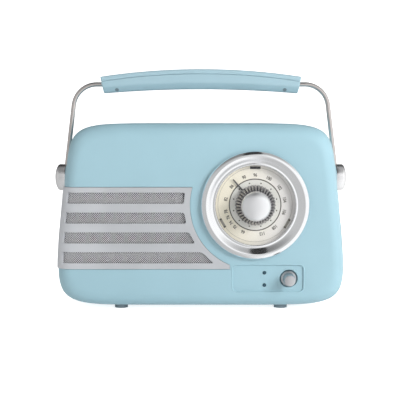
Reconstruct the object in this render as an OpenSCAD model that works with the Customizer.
// Retro portable radio with a carrying handle, millimetres.
// Origin: on the resting plane, under the middle of the whole radio, knob and antenna included.
// +Z up, the front faces -Y, +X is the right-hand side seen from the front.
// Modules work with y = 0 on the cabinet's parting line; at_frame() moves them to the origin.

/* [Cabinet] */
// width of the cabinet side curve at the base
body_w = 302.4; // [298:0.4:306]
// height of the cabinet shell without its feet
body_h = 192; // [190:1:195]
// depth of the cabinet from front face to rear face
body_d = 104; // [102:1:108]
// wall thickness of both cabinet shells
wall = 3; // [2.8:0.1:3.2]
// radius of the rounded edge round the front and rear faces
edge_r = 14; // [12:0.5:15]
// how much wider the base is than the top, both sides together
flare = 13.6; // [12.8:0.2:14.4]
// how much each side narrows from the parting line to the rear face
rear_taper = 5; // [4:0.5:6]
// height of the cabinet bottom above the resting plane
foot_h = 4; // [4:0.5:6]
// radius of each rubber foot
foot_r = 7; // [5:0.5:9]

/* [Grille] */
// depth of the pocket in the front shell that takes the grille frame
pocket = 1.9; // [1.7:0.1:2]
// how far the grille frame stands proud of the cabinet
frame_proud = 1.2; // [0.8:0.1:1.6]
// gap round the grille frame inside its pocket
frame_gap = 0.3; // [0.2:0.1:0.6]

/* [Dial] */
// sideways position of the dial centre
dial_x = 56.6; // [54:0.2:58]
// height of the dial centre
dial_z = 111.1; // [109:0.1:113]
// outer radius of the chrome dial bezel
bezel_r = 57; // [55:0.5:59]
// radius of the tuning knob's fluted skirt
knob_r = 21.3; // [19:0.1:24]
// number of flutes on the tuning knob
flutes = 36; // [24:1:48]
// angle of the pointer from straight up, negative is to the left
pointer_deg = -41; // [-130:1:130]

/* [Gears] */
// gear module of the dial drive
gear_m = 0.6; // [0.6:0.02:0.64]
// teeth of the gear on the tuning shaft
drive_teeth = 24; // [24:1:24]
// teeth of the gear on the tuning capacitor
gang_teeth = 36; // [36:1:36]

/* [Handle] */
// height of the handle pivots
pivot_z = 137.3; // [134:0.1:140]
// radius of the chrome pivot hubs
hub_r = 14.25; // [13:0.25:16]
// radius of the chrome handle rod
rod_r = 2.45; // [2.2:0.05:2.6]
// radius of the bend in the handle rod
bend_r = 25.3; // [24:0.1:27]
// width of the grip from front to rear
grip_w = 24; // [20:0.5:28]

/* [Hidden] */
$fn = 48;
front = -body_d / 2;
rear = body_d / 2;
inner_front = front + wall;
inner_rear = rear - wall;
mid_z = foot_h + body_h / 2;
ring_points = 56;

// places on an axis along Y, as [x, z]
dial = [dial_x, dial_z];
gang = [dial_x, dial_z - gear_m * (drive_teeth + gang_teeth) / 2];
volume = [91.9, 33.9];
speaker = [-75, 87];
lamps = [[66.5, 27], [66.5, 40.1]];
phone_jack = [88, 100];
power_jack = [88, 78];
band_switch = [75, 130];
screw_places = [[-112, 30], [112, 30], [-112, 165], [114, 150]];
board_posts = [[18, 58], [98, 58], [18, 154], [98, 154]];

board_y = -13;     // front face of the main board
pivot = [0, pivot_z];
foot_x = [-85, 85];
foot_y = 30;       // feet stand this far in front of and behind the parting line
foot_stem_r = 3;
screw_head_y = rear - 2.2;

ant_y = rear + 4.5;
ant_z = 172;
ant_x = 112;
ant_axis = [ant_y, ant_z];   // axis of the stowed rod, along X
ant_stub = [ant_x, ant_z];   // axis of the swivel stub, along Y
ant_rear = ant_y + 4;
elbow_x = 104;

knob_front = front - 22;
frame_y = -(knob_front + ant_rear) / 2;

blue = [0.62, 0.78, 0.84];
silver = [0.74, 0.75, 0.77];
chrome = [0.86, 0.87, 0.89];
dark = [0.15, 0.15, 0.16];
brass = [0.75, 0.62, 0.32];
steel = [0.6, 0.61, 0.63];
cream = [0.87, 0.86, 0.8];

// ---- helpers: x, y and z arguments of solids are [from, to] ranges ----
function about(centre, half) = [centre - half, centre + half];
function reversed(list) = [for (i = [len(list) - 1:-1:0]) list[i]];
module at_frame() translate([0, frame_y, 0]) children();
module both_sides() for (m = [0, 1]) mirror([m, 0, 0]) children();
// cylinders along Y at [x, z], along X at [y, z] and along Z at [x, y]
module ycyl(at, y, r)
  translate([at[0], y[1], at[1]]) rotate([90, 0, 0]) cylinder(h = y[1] - y[0], r = r);
module xcyl(at, x, r)
  translate([x[0], at[0], at[1]]) rotate([0, 90, 0]) cylinder(h = x[1] - x[0], r = r);
module zcyl(at, z, r)
  translate([at[0], at[1], z[0]]) cylinder(h = z[1] - z[0], r = r);
module box(x, y, z)
  translate([x[0], y[0], z[0]]) cube([x[1] - x[0], y[1] - y[0], z[1] - z[0]]);
// solid turned about an axis along Y from [radius, y] points
module yrev(at, points) translate([at[0], 0, at[1]]) rotate([90, 0, 0])
  rotate_extrude($fn = 72) polygon([for (p = points) [p[0], -p[1]]]);
// plate drawn in X-Z and extruded along Y
module yplate(y, points)
  translate([0, y[1], 0]) rotate([90, 0, 0]) linear_extrude(y[1] - y[0]) polygon(points);

// closed solid through rings of equal length, flat caps on the first and last
module loft(rings, flip = false) {
  n = len(rings[0]);
  m = len(rings);
  points = [for (r = rings) each r];
  sides = [for (j = [0:m - 2]) for (i = [0:n - 1])
    let (k = (i + 1) % n, a = j * n + i, b = j * n + k, c = (j + 1) * n + k, d = (j + 1) * n + i)
    each [[a, b, c], [a, c, d]]];
  first_cap = [for (i = [n - 1:-1:0]) i];
  last_cap = [for (i = [0:n - 1]) (m - 1) * n + i];
  faces = concat([first_cap], sides, [last_cap]);
  polyhedron(points, flip ? [for (f = faces) reversed(f)] : faces);
}

// rod swept along a path that stays roughly in the plane square to up
function unit(v) = v / norm(v);
function tangent(path, i) = unit(path[min(i + 1, len(path) - 1)] - path[max(i - 1, 0)]);
module sweep(path, r, n = 12, up = [0, 1, 0]) {
  loft([for (i = [0:len(path) - 1])
    let (t = tangent(path, i), side = unit(cross(t, up)), over = cross(side, t))
    [for (k = [0:n - 1]) let (a = 360 * k / n) path[i] + r * cos(a) * side + r * sin(a) * over]]);
}

// ---- cabinet surface: rings in X-Z planes with squared-off corners ----
flare_z = 25;      // the sides start to narrow here
flare_h = 190;
function clamp(v, low, high) = min(max(v, low), high);
function half_width(z) =
  body_w / 2 - flare / 2 * (1 - cos(180 * clamp((z - flare_z) / flare_h, 0, 1)));
function squircle(a) = pow(pow(abs(cos(a)), 8) + pow(abs(sin(a)), 8), -1 / 8);
// ring angles, crowded towards the corners
function ring_angle(i) =
  let (turn = 360 * i / ring_points, quarter = floor(turn / 90) * 90, t = (turn - quarter) / 45 - 1)
  quarter + 45 + 45 * sign(t) * pow(abs(t), 1.6);
function ring(y, inset, side_inset = 0) = [for (i = [0:ring_points - 1])
  let (a = ring_angle(i), z = mid_z + (body_h / 2 - inset) * squircle(a) * sin(a))
  [(half_width(z) - inset - side_inset) * squircle(a) * cos(a), y, z]];
// rings round the rounded edge: grow is the offset outwards,
// angle runs from 0 on the sides to 90 on the face
function front_ring(grow, angle) = let (r = edge_r + grow)
  ring(front + edge_r - r * sin(angle), edge_r - r * cos(angle));
function rear_ring(grow, angle) = let (r = edge_r + grow)
  ring(rear - edge_r + r * sin(angle), edge_r - r * cos(angle), rear_taper);
function taper(y) = rear_taper * clamp(y / (rear - edge_r), 0, 1);

// ---- grille ----
frame_z = [44.1, 129.7];
frame_right = 30.2;
frame_left = -170;   // beyond the cabinet, so the frame wraps round its left side
frame_dial_r = 68;   // arc round the dial that ends the frame
slot_dial_r = 74.5;  // arc round the dial that ends the slots
slot_z = 50.5;
slot_h = 11.3;
slot_pitch = 20.8;
slot_margin = 6.2;   // from the slot's left end to the cabinet side
function dial_edge(r, z) = dial_x - sqrt(r * r - pow(z - dial_z, 2));
function frame_outline(grow) =
  let (r = frame_dial_r - grow, right = frame_right + grow, top = frame_z[1] + grow,
    arc_z = dial_z - sqrt(r * r - pow(dial_x - right, 2)))
  concat([[frame_left, frame_z[0] - grow], [right, frame_z[0] - grow]],
    [for (k = [0:16]) let (z = arc_z + (top - arc_z) * k / 16) [dial_edge(r, z), z]],
    [[frame_left, top]]);
function slot_outline(z0, z1) = [
  [-half_width(z0) + slot_margin, z0], [dial_edge(slot_dial_r, z0), z0],
  [dial_edge(slot_dial_r, z1), z1], [-half_width(z1) + slot_margin, z1]];
// layer that follows the front shell, between two offsets from its surface
module skin(outer, inner, end_y) loft(concat(
  [for (a = [90:-22.5:0]) front_ring(outer, a)],
  [ring(end_y, -outer), ring(end_y, -inner)],
  [for (a = [0:22.5:90]) front_ring(inner, a)]));
module grille_patch(outer, inner, end_y, grow) intersection() {
  skin(outer, inner, end_y);
  yplate([front - 6, end_y + 1], frame_outline(grow));
}
module grille_frame() at_frame() color(silver) difference() {
  grille_patch(frame_proud, -0.95, front + 15, 0);
  for (k = [0:3]) let (z = slot_z + slot_pitch * k)
    yplate([front - 6, front + 20], slot_outline(z, z + slot_h));
}
module grille_mesh() at_frame() color([0.5, 0.5, 0.52])
  grille_patch(-1.05, -1.8, front + 14.8, -0.3);

// ---- sizes shared by the shells and the parts they hold ----
boss_root = inner_front - 0.5;   // bosses start inside the front wall
cut_front = front - 3;           // front cuts start clear of the cabinet
rear_cut = [inner_rear - 1, rear + 1];
panel_x = [37.5, 102.7];         // corner centres of the control panel recess
panel_z = [24.9, 43.8];
panel_r = 4;
panel_y = [cut_front, front + 1.2];
speaker_y = front + 5;           // seat of the speaker flange
speaker_r = 52;
speaker_holes = [for (a = [45:90:315]) speaker + 48.5 * [cos(a), sin(a)]];
dial_seat = front + 5.5;
lamp_r = 1.95;
boss_x = [136, 143.7];           // pivot boss and bush
boss_r = 9;
bush_r = 5.5;
bolt_r = 4;
bolt_cut = [130, 150];
bay_x = 58;                      // half width of the battery bay and its opening
door_z = [25, 77];
jack_r = 4;
power_jack_r = 4.2;
ant_socket_r = 5;
ant_flange_r = 8;

// ---- cabinet shells ----
module pivot_boss(y) both_sides() intersection() {
  xcyl(pivot, boss_x, boss_r);
  box([130, 150], y, [100, 170]);
}
module bush_holes() both_sides() xcyl(pivot, bolt_cut, bush_r);
module foot_holes(y) for (x = foot_x) {
  zcyl([x, y], [-1, foot_h + 0.5], foot_r);
  zcyl([x, y], [0, 12], foot_stem_r);
}
module panel_recess() {
  for (x = panel_x) for (z = panel_z) ycyl([x, z], panel_y, panel_r);
  box(panel_x + [-panel_r, panel_r], panel_y, panel_z);
  box(panel_x, panel_y, panel_z + [-panel_r, panel_r]);
}
module front_shell() at_frame() color(blue) difference() {
  union() {
    loft(concat([for (a = [90:-22.5:0]) front_ring(0, a)], [ring(0, 0), ring(0, wall)],
      [for (a = [0:30:90]) front_ring(-wall, a)]));
    for (s = screw_places) ycyl(s, [boss_root, 0], 5);
    for (s = board_posts) ycyl(s, [boss_root, board_y], 4);
    ycyl(speaker, [boss_root, speaker_y], speaker_r);
    ycyl(dial, [boss_root, front + 8], 47);
    ycyl(volume, [boss_root, front + 8], 11.5);
    pivot_boss([-12, 0]);
  }
  grille_patch(3, -pocket, front + 15.3, frame_gap);
  // speaker opening and screw holes
  ycyl(speaker, [cut_front, front + 6], 37);
  for (s = speaker_holes) ycyl(s, [front + 2.6, front + 6], 1.5);
  // dial pocket and shaft bush hole
  ycyl(dial, [cut_front, dial_seat], 44);
  ycyl(dial, [cut_front, front + 9], 5);
  panel_recess();
  ycyl(volume, [cut_front, front + 5], 9.1);
  ycyl(volume, [cut_front, front + 9], 3.6);
  for (s = lamps) ycyl(s, [cut_front, front + 6], lamp_r);
  for (s = screw_places) ycyl(s, [-12, 1], 1.75);
  for (s = board_posts) ycyl(s, [board_y - 8, board_y + 1], 1.5);
  bush_holes();
  foot_holes(-foot_y);
}
// ledge the stowed antenna rests on
module antenna_ledge() difference() {
  box([-98, -90], [rear - 1, ant_y + 2], [ant_z - 8, ant_z - 2.4]);
  xcyl(ant_axis, [-100, -88], 3.3);
  box([-100, -88], [ant_y, ant_y + 5], [ant_z - 3.3, ant_z]);
}
module rear_shell() at_frame() color(blue) difference() {
  union() {
    // the rings at y = -3 form a lip that fits inside the front shell
    loft(concat([for (a = [90:-22.5:0]) rear_ring(0, a)],
      [ring(0, 0), ring(0, wall + 0.1), ring(-3, wall + 0.1), ring(-3, wall + 1.6),
        ring(2, wall + 1.6), ring(2, wall, taper(2))],
      [for (a = [0:30:90]) rear_ring(-wall, a)]), true);
    for (s = screw_places) ycyl(s, [0, inner_rear + 0.5], 5);
    pivot_boss([0, 12]);
    antenna_ledge();
  }
  // clearance in the lip for the front shell's pivot bosses
  both_sides() intersection() {
    xcyl(pivot, bolt_cut, 9.4);
    box([120, 160], [-12, 0], [100, 170]);
  }
  bush_holes();
  for (s = screw_places) {
    ycyl(s, [-1, rear + 1], 2);
    ycyl(s, [screw_head_y, rear + 1], 3.6);
  }
  // battery door opening
  box([-bay_x, bay_x], rear_cut, door_z);
  // cooling and sound slots
  for (k = [0:6]) box([-105, -25], rear_cut, [98 + 8 * k, 101 + 8 * k]);
  // band switch slot, jacks, antenna stub
  box(about(band_switch[0], 7), rear_cut, about(band_switch[1], 3));
  ycyl(phone_jack, rear_cut, jack_r);
  ycyl(power_jack, rear_cut, power_jack_r);
  ycyl(ant_stub, rear_cut, ant_socket_r);
  // flat seat for the socket's flange
  ycyl(ant_stub, [inner_rear - 5, inner_rear], ant_flange_r + 0.05);
  foot_holes(foot_y);
}

// ---- dial and tuning knob ----
bezel_hole_r = 41.2;
plate_r = 43.6;
plate_y = front + 4.5;   // front face of the dial plate
shaft_r = 3;
skirt_h = 13.6;
skirt_taper = 17 / 21.3; // front radius over rear radius
flute_cut = [0, 0.25, 0.9, 0.25];   // depth at the four points of each flute
needle_y = [front + 2.3, front + 3.1];
module dial_bezel() at_frame() color(chrome) yrev(dial, concat(
  [[bezel_r, front]],
  [for (a = [10:20:170]) [bezel_r - 5.3 + 5.3 * cos(a), front - 0.8 - 6.2 * sin(a)]],
  [for (a = [20:20:160]) [bezel_r - 13.2 + 2.4 * cos(a), front - 2.2 - 2.2 * sin(a)]],
  [[bezel_hole_r, front - 1.6], [bezel_hole_r, plate_y], [plate_r, plate_y], [plate_r, front]]));
module dial_plate() at_frame() color(cream) difference() {
  ycyl(dial, [plate_y, dial_seat], plate_r);
  ycyl(dial, [front + 3, front + 7], 5.2);
}
module dial_lens() at_frame() color([0.8, 0.9, 0.95, 0.35]) difference() {
  ycyl(dial, [front + 0.4, front + 1.4], bezel_hole_r);
  ycyl(dial, [front - 1, front + 3], 4);
}
module shaft_bush() at_frame() color(brass) yrev(dial, [
  [shaft_r + 0.05, front + 3.8], [5, front + 3.8], [5, front + 8],
  [7.5, front + 8], [7.5, front + 9.6], [shaft_r + 0.05, front + 9.6]]);
module knob_skirt() at_frame() color(chrome) difference() {
  translate([dial_x, front - 0.4, dial_z]) rotate([90, 0, 0])
    linear_extrude(skirt_h, scale = skirt_taper)
      polygon([for (i = [0:flutes * 4 - 1])
        let (a = 360 * i / (flutes * 4), r = knob_r - flute_cut[i % 4])
        [r * cos(a), r * sin(a)]]);
  ycyl(dial, [front - 13, front + 1], shaft_r);
}
module knob_cap() at_frame() color(silver) yrev(dial, [
  [0, front - 14], [16.6, front - 14], [16.6, front - 15.2], [15.8, front - 17.4],
  [13, front - 19.8], [8, front - 21.4], [0, knob_front]]);
module tuning_shaft() at_frame() color(steel) ycyl(dial, [front - 13, -31], shaft_r);
module pointer_needle() at_frame() color(dark)
  translate([dial_x, 0, dial_z]) rotate([0, pointer_deg, 0]) difference() {
    union() {
      ycyl([0, 0], needle_y, 6);
      box([-0.6, 0.6], needle_y, [4, 35]);
    }
    ycyl([0, 0], [front + 1, front + 4], shaft_r);
  }

// ---- involute gears and the tuning gang ----
pressure_deg = 20;
backlash = 0.12;
function involute(a) = tan(a) * 180 / PI - a;
// outline as [radius, angle]; flank holds half the tooth's angular width at each radius
function gear_outline(teeth) =
  let (pitch_r = gear_m * teeth / 2, base_r = pitch_r * cos(pressure_deg),
    tip_r = pitch_r + gear_m, root_r = pitch_r - 1.25 * gear_m, start_r = max(base_r, root_r),
    half = 90 / teeth - backlash / pitch_r * 90 / PI + involute(pressure_deg),
    flank = [for (k = [0:4]) let (r = start_r + (tip_r - start_r) * k / 4)
      [r, half - involute(acos(base_r / r))]])
  [for (t = [0:teeth - 1]) let (mid = 360 * t / teeth) each concat(
    [[root_r, mid - 180 / teeth + 0.01]],
    [for (f = flank) [f[0], mid - f[1]]],
    [for (f = reversed(flank)) [f[0], mid + f[1]]])];
module gear(at, y, teeth, turn) translate([at[0], y[1], at[1]]) rotate([90, 0, 0])
  linear_extrude(y[1] - y[0]) difference() {
    rotate(turn) polygon([for (p = gear_outline(teeth)) p[0] * [cos(p[1]), sin(p[1])]]);
    circle(r = shaft_r);
  }
module drive_gear() at_frame() color(brass) gear(dial, [-36, -32.4], drive_teeth, -90);
module gang_gear() at_frame() color([0.9, 0.9, 0.86])
  gear(gang, [-36.2, -32.2], gang_teeth, 90 + 180 / gang_teeth);
module gang_spindle() at_frame() color(steel) ycyl(gang, [-38, -20], shaft_r);
module tuning_gang() at_frame() color([0.85, 0.85, 0.8]) difference() {
  box(about(gang[0], 10.5), [-29, board_y], about(gang[1], 10.5));
  ycyl(gang, [-30, -19], shaft_r + 0.05);
}

// ---- volume control and lamps ----
spindle_r = 2;
module volume_pot() at_frame() color(steel) yrev(volume, [
  [spindle_r + 0.05, front + 3.2], [3.6, front + 3.2], [3.6, front + 8], [8.5, front + 8],
  [8.5, front + 18], [0, front + 18], [0, front + 15.2], [spindle_r + 0.05, front + 15.2]]);
module volume_spindle() at_frame() color(steel)
  ycyl(volume, [front - 12, front + 15], spindle_r);
module volume_knob() at_frame() color(chrome) yrev(volume, [
  [spindle_r, front + 2.8], [8.2, front + 2.8], [8.2, front + 1.4], [7.4, front + 0.6],
  [6.2, front + 0.2], [5.9, front - 12.6], [5.2, front - 14], [0, front - 14],
  [0, front - 12], [spindle_r, front - 12]]);
module indicator_lamps() at_frame() color([0.2, 0.28, 0.33]) for (s = lamps) yrev(s, [
  [0, front + 0.5], [1.2, front + 0.6], [lamp_r, front + 1], [lamp_r, inner_front],
  [2.7, inner_front], [2.7, inner_front + 1.2], [0, inner_front + 1.2]]);

// ---- loudspeaker ----
magnet_y = -24;   // front face of the magnet
module speaker_basket() at_frame() color(dark) difference() {
  yrev(speaker, [[38, speaker_y], [speaker_r, speaker_y], [speaker_r, front + 6.5],
    [43.5, front + 6.5], [26, magnet_y], [12, magnet_y], [12, magnet_y - 1.5],
    [25, magnet_y - 1.5], [41.5, front + 6.7], [38, front + 6.7]]);
  for (s = speaker_holes) ycyl(s, [front + 4, front + 8], 1.7);
}
// the groove behind the front face takes the voice coil
module speaker_magnet() at_frame() color([0.22, 0.22, 0.24]) yrev(speaker, [
  [7.5, magnet_y], [22, magnet_y], [22, -12], [0, -12],
  [0, magnet_y], [5.8, magnet_y], [5.8, -15], [7.5, -15]]);
module speaker_surround() at_frame() color([0.1, 0.1, 0.1]) yrev(speaker, [
  [34, front + 6], [34, front + 5.4], [35.4, front + 4], [36.9, front + 5],
  [38, front + 5], [38, front + 5.6], [36.6, front + 5.6], [35.4, front + 4.7]]);
// cone with its coil tube, then the dust cap
module speaker_cone() at_frame() color([0.18, 0.17, 0.16]) union() {
  yrev(speaker, [[6.3, -21], [6.9, -21], [6.9, -31], [34, front + 6], [34, front + 5.4],
    [6.9, -31.8], [6.3, -31.8]]);
  yrev(speaker, [[0, -37.6], [6, -36.2], [10.5, -33.6], [10.5, -33], [6, -35.6], [0, -37]]);
}
module speaker_screws() at_frame() color(steel) for (s = speaker_holes) union() {
  ycyl(s, [front + 2.8, front + 6.5], 1.5);
  ycyl(s, [front + 6.5, front + 8.2], 3);
}

// ---- electronics ----
board_back = board_y + 1.6;
ferrite = [board_y, 174];   // axis of the rod along X, as [y, z]
ferrite_r = 5;
cans = [[30, 120, 4], [30, 134, 5], [86, 80, 5], [86, 96, 4], [72, 70, 3.2]];  // x, z, radius
blocks = [[46, 120], [46, 134], [62, 134]];                                    // x, z
chips = [[[60, 80], [106, 113]], [[34, 54], [88, 95]], [[40, 58], [66, 72]]];  // x and z ranges
module main_board() at_frame() color([0.62, 0.5, 0.28]) difference() {
  box([12, 104], [board_y, board_back], [52, 160]);
  for (s = board_posts) ycyl(s, [board_y - 1, board_y + 3], 1.7);
}
module board_screws() at_frame() color(steel) for (s = board_posts) union() {
  ycyl(s, [board_y - 7, board_back], 1.5);
  ycyl(s, [board_back, board_y + 3.4], 3);
}
module board_components() at_frame() color([0.25, 0.25, 0.27]) {
  for (p = cans) ycyl(p, [board_back, board_back + 11], p[2]);
  for (p = blocks) box(about(p[0], 4), [board_back, board_back + 10], about(p[1], 4));
  for (p = chips) box(p[0], [board_back, board_back + 3], p[1]);
}
module ferrite_rod() at_frame() color([0.12, 0.12, 0.13]) xcyl(ferrite, [5, 122], ferrite_r);
module ferrite_coil() at_frame() color([0.72, 0.42, 0.2]) difference() {
  xcyl(ferrite, [46, 78], 6.5);
  xcyl(ferrite, [40, 90], ferrite_r);
}
module ferrite_clips() at_frame() color([0.9, 0.9, 0.88]) for (x = [24, 94]) difference() {
  union() {
    xcyl(ferrite, about(x, 3), 7.5);
    box(about(x, 3), [board_back, board_y + 5], [158.5, 172]);
  }
  xcyl(ferrite, about(x, 5), ferrite_r);
}

// ---- battery compartment, four C cells in two rows ----
cell_rows = [37.5, 64.5];
cell_y = 34.5;
cell_l = 50;
plate_t = 0.6;    // contact plates
door_gap = 0.3;
module battery_box() at_frame() color(dark) difference() {
  box([-bay_x - 2, bay_x + 2], [19, inner_rear], [22, 80]);
  box([-bay_x, bay_x], [21, rear + 1], [24, 78]);
}
module batteries() at_frame() color([0.35, 0.4, 0.5])
  for (z = cell_rows) for (x = [-cell_l, 0]) union() {
    xcyl([cell_y, z], [x, x + 48.4], 13);
    xcyl([cell_y, z], [x + 48.4, x + cell_l], 3.2);
  }
module battery_springs() at_frame() color(steel) for (z = cell_rows)
  sweep([for (k = [0:54])
    [-bay_x + plate_t + 0.6 + k * 0.114, cell_y + 5 * cos(k * 24), z + 5 * sin(k * 24)]],
    0.55, 6, [1, 0, 0]);
// flat plate behind each spring, open-topped folded contact at the other end
module battery_contacts() at_frame() color(silver) for (z = cell_rows) {
  box([-bay_x, -bay_x + plate_t], about(cell_y, 6), about(z, 6));
  difference() {
    box([cell_l, bay_x], about(cell_y, 6), about(z, 6));
    box([cell_l + plate_t, bay_x - plate_t], about(cell_y, 6.5), [z - 6 + plate_t, z + 7]);
  }
}
module battery_door() at_frame() color(blue) difference() {
  union() {
    box([-bay_x + door_gap, bay_x - door_gap], [rear - 2.8, rear], door_z + [door_gap, -door_gap]);
    box([-bay_x + 1.5, bay_x - 1.5], [rear - 4.2, rear - 2.8], door_z + [1.5, -1.5]);
  }
  // finger notches
  for (x = [-9:6:9]) box(about(x, 1), [rear - 1, rear + 1], [62, 72]);
}

// ---- fixings, feet ----
module cabinet_screws() at_frame() color(steel) for (s = screw_places) union() {
  ycyl(s, [-11, screw_head_y], 1.75);
  ycyl(s, [screw_head_y, rear - 0.4], 3.3);
}
module feet() at_frame() color([0.08, 0.08, 0.08])
  for (x = foot_x) for (y = [-foot_y, foot_y]) union() {
    zcyl([x, y], [0, foot_h + 0.5], foot_r);
    zcyl([x, y], [foot_h + 0.5, foot_h + 5], foot_stem_r);
  }

// ---- sockets and band switch on the rear ----
slider_x = 72;
module headphone_jack() at_frame() color(steel) difference() {
  union() {
    box(about(phone_jack[0], 6), [36, inner_rear], about(phone_jack[1], 6));
    ycyl(phone_jack, [inner_rear, rear + 1], jack_r);
  }
  ycyl(phone_jack, [38, rear + 2], 1.8);
}
module dc_jack() at_frame() color(dark) union() {
  difference() {
    union() {
      box(about(power_jack[0], 6), [38, inner_rear], about(power_jack[1], 6));
      ycyl(power_jack, [inner_rear, rear + 0.5], power_jack_r);
    }
    ycyl(power_jack, [41, rear + 2], 2.8);
  }
  // centre pin
  ycyl(power_jack, [40, rear - 1], 1);
}
module band_switch_body() at_frame() color(steel) difference() {
  box(about(band_switch[0], 11), [42, inner_rear], about(band_switch[1], 6));
  box(about(band_switch[0], 7.5), [44, rear], about(band_switch[1], 2.5));
}
module band_switch_slider() at_frame() color(dark) union() {
  box(about(slider_x, 3.8), [inner_rear + 0.3, rear + 2], about(band_switch[1], 2.7));
  box(about(slider_x, 3), [44.4, inner_rear + 0.3], about(band_switch[1], 2));
}

// ---- handle arms, hubs and pivots ----
lean = 0.125;        // inward slope of each arm
arm_x = 147.4;       // arm centreline at the pivot
arm_rise = 78.2;     // from the pivot to the start of the bend
hub_x = 144.9;       // inner face of the hub and arm eye
lean_deg = atan(lean);
bend_x = arm_x - lean * arm_rise - bend_r * cos(lean_deg);
bend_z = pivot_z + arm_rise - bend_r * sin(lean_deg);
bar_z = bend_z + bend_r;
arm_path = concat(
  [for (k = [0:4]) let (h = 2 + (arm_rise - 3) * k / 4) [arm_x - lean * h, 0, pivot_z + h]],
  [for (a = [lean_deg:7.5:90]) [bend_x + bend_r * cos(a), 0, bend_z + bend_r * sin(a)]],
  [[bend_x, 0, bar_z], [bend_x - 7, 0, bar_z], [97, 0, bar_z]]);
module arm() difference() {
  union() {
    sweep(arm_path, rod_r, 20);
    xcyl(pivot, [hub_x, 150], 9);
  }
  xcyl(pivot, [140, 155], bolt_r + 0.05);
  // flat that faces the friction washer
  xcyl(pivot, [140, hub_x], 9.2);
}
module handle_arm_right() at_frame() color(chrome) arm();
module handle_arm_left() at_frame() color(chrome) mirror([1, 0, 0]) arm();
// turned about X from [radius, x] points, with a slot for the rod
module hub() difference() {
  translate([0, 0, pivot_z]) rotate([0, 90, 0]) rotate_extrude($fn = 72) polygon([
    [0, 153.4], [9, 153.4], [9, hub_x], [hub_r - 1.4, hub_x], [hub_r - 0.3, 145.6],
    [hub_r, 147], [hub_r, 153], [hub_r - 0.5, 154.4], [hub_r - 2.2, 155.8],
    [hub_r - 5, 157], [hub_r - 9, 157.9], [0, 158.2]]);
  box([140, 149.7], about(0, rod_r + 0.1), [pivot_z + 5, pivot_z + 20]);
}
module handle_hub_right() at_frame() color(chrome) hub();
module handle_hub_left() at_frame() color(chrome) mirror([1, 0, 0]) hub();
module pivot_bushes() at_frame() color(brass) both_sides() difference() {
  xcyl(pivot, boss_x, bush_r);
  xcyl(pivot, bolt_cut, bolt_r);
}
module friction_washers() at_frame() color([0.3, 0.2, 0.12]) both_sides() difference() {
  xcyl(pivot, [boss_x[1], 144.85], 8.5);
  xcyl(pivot, [140, 150], bolt_r);
}
module pivot_bolts() at_frame() color(steel) both_sides() union() {
  xcyl(pivot, [130, 150.1], bolt_r);
  xcyl(pivot, [150.1, 152.5], 7);
}
module pivot_nuts() at_frame() color(steel) both_sides() difference() {
  translate([131, 0, pivot_z]) rotate([0, 90, 0]) cylinder(h = 5, r = 7.5, $fn = 6);
  xcyl(pivot, [129, 140], bolt_r);
}

// ---- grip: sections at u from -1 (left end) to 1 (right end) ----
grip_half = grip_w / 2;
cap_h = 5.2;
stations = [for (k = [-12:12]) k / 12];
function grip_top(u) = 253.7 - 8.1 * u * u;
function grip_bottom(u) = 232.5 - 4.4 * u * u;
// the slanted ends make the grip longer at the top
function grip_point(u, y, z) =
  let (rise = (z - grip_bottom(u)) / (grip_top(u) - grip_bottom(u)))
  [u * (104.2 + 3.5 * rise), y, z];
// symmetric section from its front side, given as [inset from the front face, z]
function grip_section(u, side) = concat(
  [for (p = side) grip_point(u, p[0] - grip_half, p[1])],
  [for (p = reversed(side)) grip_point(u, grip_half - p[0], p[1])]);
function base_ring(u) = let (low = grip_bottom(u), top = grip_top(u) - cap_h)
  grip_section(u, [[5.5, low], [4.2, low + 0.8], [0.6, low + 5.6], [0, low + 7],
    [0, top - 0.6], [0.5, top]]);
function hollow_ring(u) = let (low = grip_bottom(u) + 3, top = grip_top(u) - cap_h)
  grip_section(u, [[6.5, low], [3, low + 4.5], [3, top + 1]]);
function cap_ring(u) = let (top = grip_top(u), low = top - cap_h)
  grip_section(u, [[0.5, low], [0, low + 0.6], [0.2, top - 2], [1.2, top - 0.7], [3, top]]);
module screw_place() both_sides()
  translate([90, -grip_half + 2.8, grip_bottom(0.86) + 2.2]) rotate([90 + 37, 0, 0]) children();
module grip_base() at_frame() color(blue) difference() {
  loft([for (u = stations) base_ring(u)]);
  loft([for (u = stations) hollow_ring(u * 0.78)]);
  both_sides() xcyl([0, bar_z], [96.5, 115], rod_r + 0.05);
  screw_place() translate([0, 0, -7]) cylinder(h = 7, r = 1.3);
  screw_place() translate([0, 0, -1.2]) cylinder(h = 5, r = 2.1);
}
module grip_cap() at_frame() color(blue) loft([for (u = stations) cap_ring(u)]);
module grip_screws() at_frame() color(steel) screw_place() union() {
  translate([0, 0, -6.5]) cylinder(h = 5.5, r = 1.3);
  translate([0, 0, -1.2]) cylinder(h = 1, r = 2.1);
}

// ---- telescopic antenna, stowed along the top of the rear face ----
tube_wall = 0.4;
bore_end = elbow_x - 8;
module antenna_socket() at_frame() color(brass) difference() {
  union() {
    ycyl(ant_stub, [inner_rear, rear], ant_socket_r);
    ycyl(ant_stub, [inner_rear - 1.5, inner_rear], ant_flange_r);
  }
  ycyl(ant_stub, [rear - 8, rear + 1], 3.05);
}
module antenna_swivel() at_frame() color(chrome) union() {
  difference() {
    union() {
      ycyl(ant_stub, [rear + 0.3, ant_rear], 5);
      ycyl(ant_stub, [rear - 7, rear + 0.5], 3);
      zcyl([elbow_x, ant_y], about(ant_z, 3.6), 4);
      box([elbow_x, ant_x], [rear + 0.5, ant_rear], about(ant_z, 3.6));
    }
    // fork gap for the tube's tongue
    box([elbow_x - 8, elbow_x + 4.2], [rear, ant_y + 6], about(ant_z, 1.25));
  }
  // tilt pin through the fork
  zcyl([elbow_x, ant_y], about(ant_z, 3), 1.2);
}
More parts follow.
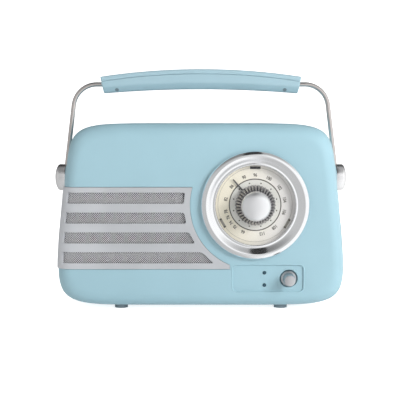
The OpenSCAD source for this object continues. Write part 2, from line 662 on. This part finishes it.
module antenna_tube_1() at_frame() color(chrome) difference() {
  union() {
    xcyl(ant_axis, [-105, elbow_x - 6], 3.2);
    box([elbow_x - 7, elbow_x], about(ant_y, 2.4), about(ant_z, 1.2));
    zcyl([elbow_x, ant_y], about(ant_z, 1.2), 2.4);
  }
  xcyl(ant_axis, [-106, bore_end], 3.2 - tube_wall);
  zcyl([elbow_x, ant_y], about(ant_z, 3), 1.25);
}
module open_tube(x, r) difference() {
  xcyl(ant_axis, x, r);
  xcyl(ant_axis, [x[0] - 1, bore_end], r - tube_wall);
}
module antenna_tube_2() at_frame() color(chrome) open_tube([-106, elbow_x - 9], 2.75);
module antenna_tube_3() at_frame() color(chrome) open_tube([-107, elbow_x - 11], 2.3);
module antenna_tip() at_frame() color(chrome) union() {
  xcyl(ant_axis, [-108.5, elbow_x - 13], 1.85);
  translate([0, ant_y, ant_z]) rotate([0, -90, 0]) rotate_extrude() polygon([
    [0, 108.5], [2.6, 108.5], [3.1, 109.2], [3.1, 111.5], [2.4, 112.4], [0, 112.8]]);
}

// ---- wiring: speaker to board, then battery box to board ----
speaker_wires = [
  [[-52, -18, 87], [-46, -17.6, 88], [-30, -15, 94],
    [-10, -13, 98], [4, -12.2, 100], [11.8, -12.2, 100]],
  [[-52, -18, 83.5], [-46, -17.6, 84.5], [-30, -15, 90],
    [-10, -13, 94], [4, -12.2, 96], [11.8, -12.2, 96]]];
module cables() at_frame() color([0.7, 0.15, 0.12]) {
  for (path = speaker_wires) sweep(path, 0.7, 8);
  for (x = [24, 28])
    sweep([[x, 18.9, 70], [x, 14, 71], [x, 4, 76], [x, -5, 80], [x, -11.2, 80.5]],
      0.8, 8, [1, 0, 0]);
}

front_shell();
rear_shell();
grille_frame();
grille_mesh();
dial_bezel();
dial_plate();
dial_lens();
shaft_bush();
speaker_basket();
speaker_magnet();
speaker_surround();
speaker_screws();
main_board();
board_components();
board_screws();
tuning_gang();
volume_pot();
indicator_lamps();
ferrite_rod();
ferrite_coil();
ferrite_clips();
battery_box();
batteries();
battery_springs();
battery_contacts();
cabinet_screws();
feet();
pivot_bushes();
pivot_bolts();
pivot_nuts();
friction_washers();
headphone_jack();
dc_jack();
band_switch_body();
antenna_socket();
cables();
handle_arm_left();
handle_arm_right();
handle_hub_left();
handle_hub_right();
grip_base();
grip_cap();
grip_screws();
knob_skirt();
knob_cap();
tuning_shaft();
pointer_needle();
drive_gear();
gang_gear();
gang_spindle();
volume_knob();
volume_spindle();
speaker_cone();
antenna_swivel();
antenna_tube_1();
antenna_tube_2();
antenna_tube_3();
antenna_tip();
battery_door();
band_switch_slider();
